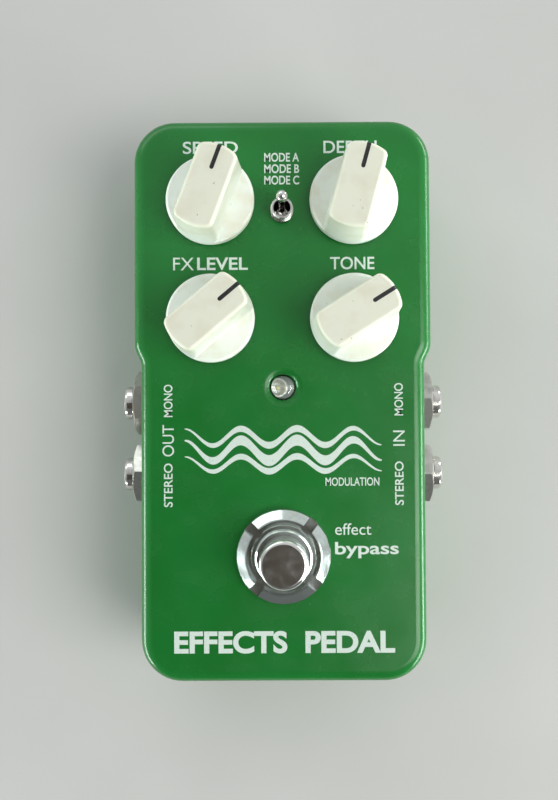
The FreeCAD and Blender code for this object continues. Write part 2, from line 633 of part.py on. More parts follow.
def board_parts():
    """Chips, relays and capacitors soldered on both faces of the board."""
    parts = [box(-5.0, 5.0, 21.0, 31.0, BOARD_TOP, BOARD_TOP + 1.4)]
    parts.append(box(-3.0, 3.0, 10.5, 16.5, BOARD_TOP, BOARD_TOP + 1.2))
    parts += [box(x - 2.9, x + 2.9, 8.6, 12.6, BOARD_BOTTOM - 5.2, BOARD_BOTTOM) for x in (-16.5, 16.5)]
    parts += [rod(2.5, BOARD_BOTTOM - 5.4, BOARD_BOTTOM, x, 51.0) for x in (-3.4, 2.4)]
    parts.append(rod(2.5, BOARD_BOTTOM - 5.4, BOARD_BOTTOM, 20.4, 47.6))
    return parts


DIP_X, DIP_Y, DIP_SLIDE = 0.4, 43.6, 1.0
DIP_SLOTS = (-1.6, 1.6)  # across the switch, along X


def dip_switch():
    """The two-way slide switch under the board, open where its sliders travel."""
    case = box(DIP_X - 3.6, DIP_X + 3.6, DIP_Y - 2.6, DIP_Y + 2.6, BOARD_BOTTOM - 2.6, BOARD_BOTTOM)
    wells = []
    for dx in DIP_SLOTS:
        x = DIP_X + dx
        wells.append(box(x - 0.65, x + 0.65, DIP_Y - 1.2, DIP_Y + 1.2, BOARD_BOTTOM - 3, BOARD_BOTTOM - 1))
    return case.cut(wells)


def dip_slider(dx):
    """One slider of the two-way switch, at the front end of its slot."""
    x, y = DIP_X + dx, DIP_Y - DIP_SLIDE / 2
    return box(x - 0.55, x + 0.55, y - 0.6, y + 0.6, BOARD_BOTTOM - 3.0, BOARD_BOTTOM - 1.1)


BATTERY = (-28.2, 20.3, 13.4, 39.9, 4.6, 22.1)  # x, y and z limits of the 9 V block
STUD_PITCH = 12.7


def battery():
    """The 9 V block with its two snap terminals."""
    x0, x1, y0, y1, z0, z1 = BATTERY
    block = box(*BATTERY)
    block = block.makeFillet(1.8, [e for e in block.Edges if e.BoundBox.XLength > 10])
    middle = (y0 + y1) / 2
    studs = [
        Part.makeCylinder(2.7, 2.2, V(x1 - 0.1, middle + s * STUD_PITCH / 2, (z0 + z1) / 2), X_AXIS)
        for s in (-1, 1)
    ]
    return block.fuse(studs)


def battery_snap():
    """The snap connector on the battery's terminals, and its two wires to the board."""
    _, x1, y0, y1, z0, z1 = BATTERY
    x, middle, height = x1 + 2.2, (y0 + y1) / 2, (z0 + z1) / 2
    cap = box(x, x + 2.6, y0 + 1.0, y1 - 1.0, height - 6.0, height + 6.0)
    cap = cap.makeFillet(0.9, [e for e in cap.Edges if e.BoundBox.XLength > 2])
    wires = []
    for dy in (-1.6, 1.6):
        y = middle + dy
        route = [V(x + 2.6, y, height), V(x + 4.5, y, height), V(x + 4.5, y, BOARD_BOTTOM)]
        wires.append(wire_run(route, 1.2, 0.6))
    return [cap] + wires


def battery_foam():
    """The foam block that keeps the battery from rattling."""
    x0, x1, y0, y1, _, z1 = BATTERY
    return box(x0 + 5, x1 - 4, y0 + 2, y1 - 3, z1, BOARD_BOTTOM)


# ---- the whole pedal ------------------------------------------------------------------------
def main():
    os.makedirs("parts", exist_ok=True)
    pots = [(x, y) for x, y, _ in CONTROLS.values()]

    keep("enclosure", enclosure())
    keep("base_plate", base_plate())
    keep("base_screw", base_screw())
    keep("base_screw_washer", base_screw_washer())
    keep("rubber_feet", *[rubber_foot(x, y) for x, y in FEET])

    knob, pointer, shaft = knob_blank(), pointer_blank(), pot_shaft_blank()
    for name, (x, y, _) in CONTROLS.items():
        keep(f"{name}_knob", placed(knob, name))
        keep(f"{name}_pointer", placed(pointer, name))
        keep(f"{name}_shaft", placed(shaft, name))
        keep(f"{name}_pot", pot_body(x, y))
    keep("pot_bushings", *[pot_bushing(x, y) for x, y in pots])
    keep("pot_nuts", *[pot_nut(x, y) for x, y in pots])
    keep("pot_washers", *[pot_washer(x, y) for x, y in pots])

    keep("toggle_body", toggle_body())
    keep("toggle_bushing", toggle_bushing())
    keep("toggle_lever", toggle_lever())
    keep("led_lens", led_lens())
    keep("led_leads", *led_leads())
    keep("led_spacer", led_spacer())

    keep("footswitch_plunger", footswitch_plunger())
    keep("footswitch_bushing", footswitch_bushing())
    keep("footswitch_crown_nut", footswitch_crown_nut())
    keep("footswitch_lock_nut", footswitch_lock_nut())
    keep("footswitch_lock_washer", footswitch_lock_washer())
    keep("footswitch_housing", footswitch_housing())
    keep("footswitch_spring", footswitch_spring())
    keep("footswitch_lugs", *footswitch_lugs())
    keep("footswitch_leads", *footswitch_leads())

    sides = list(JACKS.values())
    for name, (side, y, _) in JACKS.items():
        keep(f"{name}_jack", jack_housing(side, y))
    keep("jack_ferrules", *[out_of_side(jack_ferrule(), side, y, JACK_Z) for side, y, _ in sides])
    keep("jack_nuts", *[out_of_side(jack_nut(turn), side, y, JACK_Z) for side, y, turn in sides])
    keep("jack_washers", *[out_of_side(jack_washer(), side, y, JACK_Z) for side, y, _ in sides])
    keep("jack_contacts", *[leaf for side, y, _ in sides for leaf in jack_contacts(side, y)])

    keep("dc_socket", dc_socket())
    keep("dc_socket_pin", dc_socket_pin())
    keep("usb_socket", *usb_socket())

    keep("main_board", main_board())
    keep("board_screws", *[board_screw(x, y) for x, y in BOARD_SCREWS])
    keep("board_parts", *board_parts())
    keep("dip_switch", dip_switch())
    keep("dip_slider_left", dip_slider(DIP_SLOTS[0]))
    keep("dip_slider_right", dip_slider(DIP_SLOTS[1]))
    keep("battery", battery())
    keep("battery_snap", *battery_snap())
    keep("battery_foam", battery_foam())


main()
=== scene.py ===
# %% [markdown]
# # A guitar effects pedal, finished in Blender
#
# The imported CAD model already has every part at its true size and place, so this lesson never
# moves one. It adds what a maker adds after the parts are cut: paint, printing, turned and plated
# metal, moulded plastic, threads, a wound spring and the small parts on the circuit board. Lengths
# are in metres, and MM turns the millimetres of a workshop drawing into metres.

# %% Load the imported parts
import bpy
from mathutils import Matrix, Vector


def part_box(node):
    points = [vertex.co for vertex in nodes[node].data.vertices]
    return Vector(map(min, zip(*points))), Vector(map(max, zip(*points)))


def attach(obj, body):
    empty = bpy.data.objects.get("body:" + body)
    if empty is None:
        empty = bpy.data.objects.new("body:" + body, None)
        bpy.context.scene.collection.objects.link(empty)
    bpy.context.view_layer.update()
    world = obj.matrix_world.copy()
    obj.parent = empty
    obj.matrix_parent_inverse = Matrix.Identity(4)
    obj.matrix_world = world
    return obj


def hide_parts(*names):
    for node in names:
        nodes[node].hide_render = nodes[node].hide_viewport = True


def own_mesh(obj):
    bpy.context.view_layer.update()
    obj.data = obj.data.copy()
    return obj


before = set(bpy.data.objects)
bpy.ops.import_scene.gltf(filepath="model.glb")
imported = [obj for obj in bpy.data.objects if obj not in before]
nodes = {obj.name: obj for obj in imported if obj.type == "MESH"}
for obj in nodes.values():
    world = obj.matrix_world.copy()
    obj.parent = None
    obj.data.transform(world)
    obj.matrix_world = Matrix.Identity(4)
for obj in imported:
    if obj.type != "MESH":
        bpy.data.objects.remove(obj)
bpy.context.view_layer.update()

import math

import bmesh
import bpy
from mathutils import Matrix, Vector

MM = 0.001

# %% [markdown]
# ## Where the main features are
#
# The main places come from the parts themselves. A part's box gives its middle and its top, and
# the pedal's features are named once here, so that the threads and the finishes follow the CAD
# model. Smaller places, such as a printed word's, are typed in millimetres from the middle of the
# box.


# %% Read places from the parts
def middle(node):
    """The middle of a part's box."""
    low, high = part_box(node)
    return (low + high) / 2


top_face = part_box("enclosure")[1].z
switch = middle("footswitch_crown_nut")
toggle = middle("toggle_bushing")
lamp = middle("led_lens")
print("top face at", round(top_face / MM, 2), "mm; foot switch at y", round(switch.y / MM, 2), "mm")

# %% [markdown]
# ## A small kit for materials
#
# Real finishes are never one flat colour. Each material here starts from Blender's Principled
# shader and adds patterns in Object coordinates, scaled so that one unit is one millimetre.


# %% Node helper
def add(tree, kind, inputs=(), **settings):
    """Adds a node. Each input, by name or number, is a value or another node's output to link."""
    node = tree.nodes.new(kind)
    for key, value in settings.items():
        setattr(node, key, value)
    for key, value in dict(inputs).items():
        if isinstance(value, bpy.types.NodeSocket):
            tree.links.new(value, node.inputs[key])
        else:
            node.inputs[key].default_value = value
    return node


print("node helper ready")

# %% Material kit
class Finish:
    """One finish: a Principled shader with patterns that are measured in millimetres."""

    def __init__(self, name, colour, roughness, more=()):
        self.material = bpy.data.materials.new(name)
        self.material.use_nodes = True
        self.tree = self.material.node_tree
        self.shader = self.tree.nodes["Principled BSDF"]
        self.shader.inputs["Base Color"].default_value = (*colour, 1.0)
        self.shader.inputs["Roughness"].default_value = roughness
        for key, value in dict(more).items():
            self.shader.inputs[key].default_value = value
        self.raised = None

    def where(self, centre=(0, 0, 0), stretch=(1, 1, 1), turn=(0, 0, 0)):
        """Object coordinates in millimetres, about a centre, stretched and turned."""
        point = add(self.tree, "ShaderNodeTexCoord").outputs["Object"]
        size = [MM * s for s in stretch]
        place = {"Vector": point, "Location": centre, "Rotation": turn, "Scale": size}
        return add(self.tree, "ShaderNodeMapping", place, vector_type="TEXTURE").outputs[0]

    def part_of(self, where, axis):
        """One coordinate of a place: X, Y or Z."""
        return add(self.tree, "ShaderNodeSeparateXYZ", {0: where}).outputs[axis]

    def calc(self, how, a, b=0.0):
        """A sum on one or two values."""
        return add(self.tree, "ShaderNodeMath", {0: a, 1: b}, operation=how).outputs[0]

    def cloud(self, where, size, detail=3.0):
        """Soft noise with features of about this size."""
        inputs = {"Vector": where, "Scale": 1 / size, "Detail": detail}
        return add(self.tree, "ShaderNodeTexNoise", inputs).outputs[0]

    def cells(self, where, size):
        """The distance to the nearest of many scattered points."""
        inputs = {"Vector": where, "Scale": 1 / size}
        return add(self.tree, "ShaderNodeTexVoronoi", inputs).outputs["Distance"]

    def rings(self, where, pitch):
        """Rings about Z that also climb an upright wall, like the marks of a lathe tool."""
        level = {0: where, 1: (1, 1, 0)}
        flat = add(self.tree, "ShaderNodeVectorMath", level, operation="MULTIPLY")
        radius = add(self.tree, "ShaderNodeVectorMath", {0: flat.outputs[0]}, operation="LENGTH")
        along = self.calc("ADD", radius.outputs["Value"], self.part_of(where, "Z"))
        return self.calc("SINE", self.calc("MULTIPLY", along, 2 * math.pi / pitch))

    def band(self, value, low, high, start=0.0, end=1.0):
        """Value from low to high, stretched to run from start to end."""
        inputs = {0: value, 1: low, 2: high, 3: start, 4: end}
        return add(self.tree, "ShaderNodeMapRange", inputs, clamp=True).outputs[0]

    def blend(self, share, a, b):
        """Colour a where share is 0 and b where it is 1."""
        a, b = [c if isinstance(c, bpy.types.NodeSocket) else (*c, 1.0) for c in (a, b)]
        return add(self.tree, "ShaderNodeMix", {0: share, 6: a, 7: b}, data_type="RGBA").outputs[2]

    def paint(self, colour):
        """Links a colour to the shader."""
        self.tree.links.new(colour, self.shader.inputs["Base Color"])

    def matt(self, value):
        """Links a roughness to the shader."""
        self.tree.links.new(value, self.shader.inputs["Roughness"])

    def emboss(self, height, depth):
        """Raises the surface by depth millimetres where height is 1, over any earlier bump."""
        inputs = {"Height": height, "Distance": depth * MM, "Strength": 1.0}
        if self.raised:
            inputs["Normal"] = self.raised
        self.raised = add(self.tree, "ShaderNodeBump", inputs).outputs[0]
        self.tree.links.new(self.raised, self.shader.inputs["Normal"])


finished = {}


def give(finish, *names):
    """Puts a finish on CAD parts."""
    for name in names:
        for slot in nodes[name].material_slots:
            slot.material = finish.material
        finished[name] = finish.material.name
    print(finish.material.name, "on", ", ".join(names))


print("material kit ready")

# %% [markdown]
# ## The green enamel
#
# The box is a zinc casting with a sprayed and baked enamel. Spray paint dries with a faint orange
# peel, its colour is not quite even, and the first chips show at the edges where the pedal is
# knocked. A low bump from soft noise makes the peel, a wide noise shifts the green, and small dark
# chips are allowed only close to the sides. The paint's own gloss is the shader's roughness.

# %% Green enamel
enamel = Finish("green_enamel", (0.007, 0.165, 0.024), 0.26)
where = enamel.where()
shade = enamel.band(enamel.cloud(where, 16.0, 4.0), 0.3, 0.7)
green = enamel.blend(shade, (0.0050, 0.150, 0.018), (0.0075, 0.172, 0.026))
CHIPS_START, CHIPS_FULL = 28.6, 30.6  # millimetres from the middle, where the sides begin
from_middle = enamel.calc("ABSOLUTE", enamel.part_of(where, "X"))
near_side = enamel.band(from_middle, CHIPS_START, CHIPS_FULL)
chip = enamel.band(enamel.cloud(where, 1.1, 5.0), 0.70, 0.73)
chip = enamel.calc("MULTIPLY", chip, near_side)
enamel.paint(enamel.blend(chip, green, (0.05, 0.045, 0.035)))
enamel.matt(enamel.band(enamel.cloud(where, 7.0, 5.0), 0.3, 0.75, 0.20, 0.32))
enamel.emboss(enamel.cloud(where, 0.9, 1.0), 0.008)
enamel.emboss(chip, -0.05)
give(enamel, "enclosure")

# %% [markdown]
# ## Moulded knobs
#
# The knobs are moulded in a cream plastic that lets a little light in, which softens their
# shadows. A small amount of subsurface light, a fine moulded grain, and a yellower tone where
# fingers have rubbed dirt into the surface are enough. The skirt is painted paler and greener than
# the grip, as painted light. The pointer is black paint in a groove of the knob.

# %% Cream knobs and black pointers
cream = Finish(
    "cream_plastic", (0.80, 0.80, 0.68), 0.36,
    {"Subsurface Weight": 0.12, "Subsurface Radius": (1.0, 0.9, 0.6), "Subsurface Scale": 1.2 * MM},
)
where = cream.where()
handled = cream.band(cream.cloud(where, 5.0, 6.0), 0.48, 0.78)
SKIRT_Z, GRIP_Z = 38.0, 49.0  # millimetres above the floor
up_the_knob = cream.band(cream.part_of(where, "Z"), SKIRT_Z, GRIP_Z)
# painted light: the skirt is painted paler and greener than the grip
skirt_painted_light = cream.blend(up_the_knob, (0.83, 0.87, 0.80), (0.78, 0.79, 0.66))
clean = cream.blend(handled, skirt_painted_light, (0.72, 0.70, 0.56))
speck = cream.band(cream.cloud(where, 0.8, 2.0), 0.755, 0.775)
cream.paint(cream.blend(speck, clean, (0.20, 0.17, 0.11)))
cream.matt(cream.band(cream.cloud(where, 2.2, 5.0), 0.3, 0.7, 0.28, 0.46))
cream.emboss(cream.cloud(where, 0.5, 2.0), 0.004)

pointer_black = Finish("pointer_black", (0.012, 0.012, 0.013), 0.42)
where = pointer_black.where()
rubbed = pointer_black.band(pointer_black.cloud(where, 0.7, 5.0), 0.55, 0.8)
pointer_black.paint(pointer_black.blend(rubbed, (0.010, 0.010, 0.011), (0.045, 0.043, 0.040)))
pointer_black.emboss(pointer_black.cloud(where, 0.4, 3.0), 0.02)

controls = ["speed", "depth", "level", "tone"]
give(cream, *[f"{c}_knob" for c in controls])
give(pointer_black, *[f"{c}_pointer" for c in controls])

# %% [markdown]
# ## Turned and plated metal
#
# The foot switch's dress nut, bush and button are turned on a lathe, polished and chromed. The
# tool leaves very fine rings, which draw the highlights out around the axis. One function makes
# such a metal about any centre, with its own tint, ring spacing and polish, and stains dull it in
# patches.


# %% Turned metal
def turned_metal(name, tint, centre, pitch, ring_depth, polish, turn=(0, 0, 0)):
    """Plated metal with lathe rings about an axis, and stains that change its polish."""
    metal = Finish(name, tint, polish, {"Metallic": 1.0})
    where = metal.where(centre, turn=turn)
    stain = metal.cloud(where, 2.5, 6.0)
    dull = [0.72 * c for c in tint]
    metal.paint(metal.blend(metal.band(stain, 0.45, 0.8), tint, dull))
    metal.matt(metal.band(stain, 0.35, 0.75, polish, polish + 0.14))
    metal.emboss(metal.rings(where, pitch), ring_depth)
    metal.emboss(metal.cloud(where, 0.9, 3.0), 0.0012)
    return metal


CHROME = (0.80, 0.79, 0.77)
button_chrome = turned_metal("button_chrome", CHROME, (0, switch.y, 0), 0.5, 0.0010, 0.10)
# painted reflection: this chrome is tinted green, like the green box it reflects
nut_chrome = turned_metal("nut_chrome", (0.66, 0.72, 0.69), (0, switch.y, 0), 0.42, 0.0008, 0.13)
toggle_chrome = turned_metal("toggle_chrome", CHROME, (0, toggle.y, 0), 0.3, 0.001, 0.10)
give(button_chrome, "footswitch_plunger")
give(nut_chrome, "footswitch_crown_nut", "footswitch_bushing")
give(toggle_chrome, "toggle_bushing", "toggle_lever")

# %% [markdown]
# ## Nickel, zinc and spring steel
#
# The jacks' noses are bright nickel and their nuts are satin, with fine parallel lines left by the
# bar they were cut from. Zinc plating on screws and washers is duller and blotched. These need no
# centre, so the lines run along one axis: a noise stretched far along the others reads as a grain.


# %% Drawn and plated metal
def drawn_metal(name, tint, polish, grain=(1, 1, 1), blotch=0.10):
    """Plated metal with a grain that is short along one axis and long along the others."""
    metal = Finish(name, tint, polish, {"Metallic": 1.0})
    lines = metal.cloud(metal.where(stretch=grain), 0.25, 3.0)
    spots = metal.cloud(metal.where(), 1.8, 5.0)
    dull = [0.66 * c for c in tint]
    metal.paint(metal.blend(metal.band(spots, 0.42, 0.8), tint, dull))
    metal.matt(metal.band(spots, 0.3, 0.75, polish, polish + blotch))
    metal.emboss(lines, 0.004)
    return metal


nickel_nose = drawn_metal("nickel_nose", (0.78, 0.76, 0.72), 0.13, (0.6, 8, 8))
satin_nut = drawn_metal("satin_nut", (0.64, 0.62, 0.58), 0.27, (1, 12, 12))
zinc = drawn_metal("zinc_plate", (0.55, 0.56, 0.56), 0.34, (2, 2, 2), 0.2)
brass = drawn_metal("nickelled_brass", (0.70, 0.66, 0.56), 0.24, (2, 2, 0.8))
spring_steel = drawn_metal("spring_steel", (0.42, 0.42, 0.43), 0.30, (1, 1, 1))
tin = drawn_metal("tinned_copper", (0.70, 0.69, 0.66), 0.30, (2, 2, 2), 0.2)
shaft_steel = drawn_metal("shaft_steel", (0.60, 0.60, 0.60), 0.28, (3, 3, 0.8))
screw_at = middle("base_screw")
screw_steel = turned_metal("screw_steel", (0.62, 0.62, 0.61), screw_at, 0.45, 0.002, 0.24)
give(nickel_nose, "jack_ferrules")
give(satin_nut, "jack_nuts", "jack_washers")
give(zinc, "pot_nuts", "pot_washers", "board_screws")
give(zinc, "footswitch_lock_nut", "footswitch_lock_washer")
give(brass, "pot_bushings", "jack_contacts", "footswitch_lugs", "dc_socket_pin")
give(tin, "led_leads", "usb_socket")
give(shaft_steel, *[f"{c}_shaft" for c in controls])
give(screw_steel, "base_screw")

# %% [markdown]
# ## Plastics, rubber and foam
#
# Most of what is inside is moulded. Spark-eroded moulds leave a fine even grain, which one
# function gives to any colour. Rubber is duller and coarser, powder coat has soft beads, and the
# foam block that holds the battery is open pores, so its bump comes from cells instead of noise
# and its pores are painted darker than their rims, as painted shade.


# %% Moulded plastic and its relatives
def moulded(name, tint, roughness, grain=0.35, depth=0.008, lighter=1.5):
    """A moulded or coated surface with an even grain and a slightly worn tone."""
    finish = Finish(name, tint, roughness)
    where = finish.where()
    worn = [min(1.0, lighter * c + 0.004) for c in tint]
    finish.paint(finish.blend(finish.band(finish.cloud(where, 3.5, 6.0), 0.45, 0.8), tint, worn))
    smudge = finish.cloud(where, 1.4, 3.0)
    finish.matt(finish.band(smudge, 0.3, 0.7, roughness - 0.06, roughness + 0.10))
    finish.emboss(finish.cloud(where, grain, 2.0), depth)
    return finish


socket_black = moulded("socket_black", (0.014, 0.014, 0.015), 0.40)
switch_black = moulded("switch_black", (0.020, 0.020, 0.022), 0.46)
powder_coat = moulded("powder_coat", (0.016, 0.016, 0.017), 0.52, 0.55, 0.030)
foot_rubber = moulded("foot_rubber", (0.020, 0.020, 0.021), 0.78, 0.5, 0.030)
nylon = moulded("natural_nylon", (0.62, 0.60, 0.52), 0.42, lighter=0.86)
pot_case = moulded("pot_case", (0.030, 0.085, 0.045), 0.48)
slide_red = moulded("slide_red", (0.42, 0.012, 0.010), 0.40, lighter=0.8)
slide_white = moulded("slide_white", (0.72, 0.72, 0.70), 0.38, lighter=0.86)
snap_black = moulded("snap_black", (0.017, 0.017, 0.018), 0.55)
chip_epoxy = moulded("chip_epoxy", (0.018, 0.018, 0.020), 0.50, 0.18, 0.006)
jacks = [f"{side}_{kind}_jack" for side in ("out", "in") for kind in ("mono", "stereo")]
give(socket_black, *jacks, "dc_socket")
give(switch_black, "toggle_body", "footswitch_housing")
give(powder_coat, "base_plate")
give(foot_rubber, "rubber_feet")
give(nylon, "led_spacer", "base_screw_washer")
give(pot_case, *[f"{c}_pot" for c in controls])
give(slide_red, "dip_switch")
give(slide_white, "dip_slider_left", "dip_slider_right")
give(snap_black, "battery_snap")
give(chip_epoxy, "board_parts")

foam = Finish("battery_foam", (0.035, 0.036, 0.040), 0.92)
where = foam.where()
pore_depth_and_painted_shade = foam.band(foam.cells(where, 0.8), 0.1, 0.6)
# painted shade: the pores are painted darker than the rims between them
foam.paint(foam.blend(pore_depth_and_painted_shade, (0.010, 0.010, 0.012), (0.060, 0.061, 0.066)))
foam.emboss(pore_depth_and_painted_shade, 0.25)
give(foam, "battery_foam")

# %% [markdown]
# ## Board, battery and wires
#
# The board is green solder mask over copper: where a track runs underneath, the mask looks lighter
# and stands a hair higher. Cells measured by the city-block distance have edges that run square,
# as tracks do. The battery's wrap is two plain bands with a bare steel rim, split along its
# length, and the foot switch's two wires take their colour from the side they are on.

# %% Board, battery and wires
mask_coat = {"Coat Weight": 0.3, "Coat Roughness": 0.1}
mask = Finish("solder_mask", (0.010, 0.080, 0.030), 0.30, mask_coat)
where = mask.where()
CELL_MM, TRACKS = 4.5, 24.0
square_cells = {"Vector": where, "Scale": 1 / CELL_MM, "Randomness": 0.8}
cells = add(mask.tree, "ShaderNodeTexVoronoi", square_cells)
cells.distance, cells.feature = "MANHATTAN", "F2"
track = mask.calc("SINE", mask.calc("MULTIPLY", cells.outputs["Distance"], TRACKS))
track = mask.band(track, 0.35, 0.55)
mask.paint(mask.blend(track, (0.008, 0.062, 0.022), (0.022, 0.145, 0.055)))
mask.emboss(track, 0.03)
give(mask, "main_board")

wrap = Finish("battery_wrap", (0.02, 0.02, 0.022), 0.30, {"Metallic": 0.7})
where = wrap.where()
COPPER_BAND, STEEL_RIM = 0.012, 0.0035
battery_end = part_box("battery")[1].x
copper_at, steel_at = (battery_end - COPPER_BAND) / MM, (battery_end - STEEL_RIM) / MM
light_end = wrap.band(wrap.part_of(where, "X"), copper_at, copper_at + 0.05)
tarnish = wrap.cloud(where, 4.0, 5.0)
body_black = wrap.blend(tarnish, (0.014, 0.014, 0.016), (0.034, 0.034, 0.036))
copper = wrap.blend(tarnish, (0.60, 0.30, 0.13), (0.48, 0.25, 0.12))
steel_end = wrap.band(wrap.part_of(where, "X"), steel_at, steel_at + 0.1)
bands = wrap.blend(light_end, body_black, copper)
wrap.paint(wrap.blend(steel_end, bands, (0.55, 0.55, 0.54)))
wrap.matt(wrap.band(tarnish, 0.3, 0.7, 0.24, 0.38))
wrap.emboss(wrap.cloud(where, 1.5, 2.0), 0.02)
give(wrap, "battery")

jacket = Finish("wire_jacket", (0.3, 0.01, 0.01), 0.42)
where = jacket.where()
right_wire = jacket.band(jacket.part_of(where, "X"), -0.1, 0.1)
jacket.paint(jacket.blend(right_wire, (0.34, 0.012, 0.010), (0.014, 0.014, 0.016)))
jacket.emboss(jacket.cloud(where, 0.4, 2.0), 0.01)
give(jacket, "footswitch_leads")

# %% [markdown]
# ## The clear indicator
#
# The lens is water-clear epoxy, so what shows is what is inside it: two tinned posts, a cup with
# the die, and the light that the dome bends. Transmission with the index of epoxy does the
# bending, a share of pale green makes it milky, with the green as a painted reflection of the green
# box around it, and the tiny pieces inside are real geometry, made further down.

# %% Clear epoxy
# painted reflection: the lens is tinted pale green, like the green box around it
epoxy = Finish("clear_epoxy", (0.86, 0.93, 0.89), 0.03, {"Transmission Weight": 0.84, "IOR": 1.5})
where = epoxy.where()
epoxy.matt(epoxy.band(epoxy.cloud(where, 1.0, 3.0), 0.35, 0.75, 0.02, 0.10))
epoxy.emboss(epoxy.cloud(where, 1.2, 2.0), 0.004)
give(epoxy, "led_lens")

# %% [markdown]
# ## A small kit for Geometry Nodes
#
# Threads, the spring, rows of pins and scattered small parts repeat or follow a rule, so a node
# tree makes them from named sizes. Each tree is built once, ends in Realize Instances and Set
# Material, and is then run with different sizes for different pieces. The result is kept as a
# plain mesh that rides on a body.


# %% Tree helpers
def new_tree(name, sizes):
    """A tree with a number input for each size and a material input; returns it and its inputs."""
    tree = bpy.data.node_groups.new(name, "GeometryNodeTree")
    tree.interface.new_socket("Geometry", in_out="OUTPUT", socket_type="NodeSocketGeometry")
    tree.interface.new_socket("Finish", in_out="INPUT", socket_type="NodeSocketMaterial")
    for size, default in sizes.items():
        kind = "NodeSocketInt" if isinstance(default, int) else "NodeSocketFloat"
        tree.interface.new_socket(size, in_out="INPUT", socket_type=kind).default_value = default
    return tree, add(tree, "NodeGroupInput").outputs


def end_tree(tree, geometry, given):
    """Ends a tree in Realize Instances and Set Material."""
    whole = add(tree, "GeometryNodeRealizeInstances", {0: geometry}).outputs[0]
    inputs = {"Geometry": whole, "Material": given["Finish"]}
    add(tree, "NodeGroupOutput", {0: add(tree, "GeometryNodeSetMaterial", inputs).outputs[0]})
    print("tree", tree.name, "has", len(tree.nodes), "nodes")


def plain_mesh(maker, name):
    """The finished mesh of a maker object, which is then removed."""
    evaluated = maker.evaluated_get(bpy.context.evaluated_depsgraph_get())
    mesh = bpy.data.meshes.new_from_object(evaluated)
    mesh.name = name
    bpy.data.objects.remove(maker)
    return mesh


def set_down(name, mesh, body):
    """Makes an object of a mesh that is already in place, and lets it ride on a body."""
    piece = bpy.data.objects.new(name, mesh)
    bpy.context.scene.collection.objects.link(piece)
    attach(piece, body)
    return piece


def faces_out(mesh):
    """Merges doubled points and turns every face outwards."""
    work = bmesh.new()
    work.from_mesh(mesh)
    bmesh.ops.remove_doubles(work, verts=work.verts, dist=1e-6)
    bmesh.ops.recalc_face_normals(work, faces=work.faces)
    work.to_mesh(mesh)
    work.free()
    return mesh


def grow(name, tree, sizes, finish, body, place):
    """Runs a tree with these sizes, and keeps the result as one plain mesh, placed on a body."""
    maker = bpy.data.objects.new(name + "_maker", bpy.data.meshes.new(name + "_maker"))
    bpy.context.scene.collection.objects.link(maker)
    modifier = maker.modifiers.new("tree", "NODES")
    modifier.node_group = tree
    for socket in tree.interface.items_tree:
        if socket.in_out == "INPUT" and socket.name in sizes:
            modifier[socket.identifier] = sizes[socket.name]
        elif socket.in_out == "INPUT" and socket.name == "Finish":
            modifier[socket.identifier] = finish.material
    mesh = plain_mesh(maker, name)
    mesh.transform(place)
    print(name, len(mesh.polygons), "faces")
    return set_down(name, faces_out(mesh), body)


print("tree helpers ready")

# %% [markdown]
# ## Threads and the spring: one helix tree
#
# A thread is a small ridge wound round a cylinder, and a spring is a round wire wound in the same
# way. A spiral curve with a small ring swept along it makes both. The curve's normals are kept
# upright so that the ring does not twist, and a ring of three sides gives a thread's sharp crest.

# %% Helix tree
helix, given = new_tree("helix", {
    "Radius": 0.006, "Pitch": 0.00075, "Height": 0.0013, "Wire": 0.0002, "Sides": 3,
})
turns = add(helix, "ShaderNodeMath", {0: given["Height"], 1: given["Pitch"]}, operation="DIVIDE")
spiral = add(helix, "GeometryNodeCurveSpiral", {
    "Resolution": 48, "Rotations": turns.outputs[0], "Start Radius": given["Radius"],
    "End Radius": given["Radius"], "Height": given["Height"],
})
upright = add(helix, "GeometryNodeSetCurveNormal", {0: spiral.outputs[0]})
upright.mode = "Z_UP"
around = {"Resolution": given["Sides"], "Radius": given["Wire"]}
ring = add(helix, "GeometryNodeCurvePrimitiveCircle", around)
wound = add(helix, "GeometryNodeCurveToMesh", {
    "Curve": upright.outputs[0], "Profile Curve": ring.outputs[0], "Fill Caps": True,
})
end_tree(helix, wound.outputs[0], given)

# %% Wind the threads and the spring
BUSH_THREAD_UP, TOGGLE_THREAD_UP = 0.00385, 0.0005  # above the top face
coarse = {"Radius": 0.00602, "Pitch": 0.00062, "Height": 0.0011, "Wire": 0.00020, "Sides": 3}
at_switch = Matrix.Translation((0, switch.y, top_face + BUSH_THREAD_UP))
grow("footswitch_thread", helix, coarse, nut_chrome, "case", at_switch)
fine = {"Radius": 0.00238, "Pitch": 0.0005, "Height": 0.0026, "Wire": 0.00013, "Sides": 3}
at_toggle = Matrix.Translation((0, toggle.y, top_face + TOGGLE_THREAD_UP))
grow("toggle_thread", helix, fine, toggle_chrome, "case", at_toggle)

spring_low, spring_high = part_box("footswitch_spring")
WIRE, END_GAP = 0.00042, 0.00005
wound_height = spring_high.z - spring_low.z - 2 * (WIRE + END_GAP)
coil = {"Radius": 0.0036, "Pitch": 0.0015, "Height": wound_height, "Wire": WIRE, "Sides": 14}
at_spring = Matrix.Translation((0, switch.y, spring_low.z + WIRE + END_GAP))
spring = grow("spring_coil", helix, coil, spring_steel, "case", at_spring)
for face in spring.data.polygons:
    face.use_smooth = True
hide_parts("footswitch_spring")
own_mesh(spring)

# %% [markdown]
# ## Printed legends
#
# The words on the box are screen printed: a flat layer of pale ink, a few hundredths of a
# millimetre thick. Each legend is set as text, turned into a mesh, scaled to the width and height
# that it has on the panel, and laid on the top face. The ink is slightly worn and lets the green
# through in tiny gaps.

# %% Legend ink
ink = Finish("legend_ink", (0.66, 0.76, 0.69), 0.45)
where = ink.where()
ink_wear = ink.band(ink.cloud(where, 0.35, 4.0), 0.60, 0.78)
ink.paint(ink.blend(ink_wear, (0.66, 0.76, 0.69), (0.30, 0.50, 0.36)))
ink.emboss(ink.cloud(where, 0.3, 2.0), 0.006)
INK_THICK = 0.04 * MM
INK_Z = top_face + 0.25 * INK_THICK
print("ink is", round(INK_THICK / MM, 3), "mm thick")


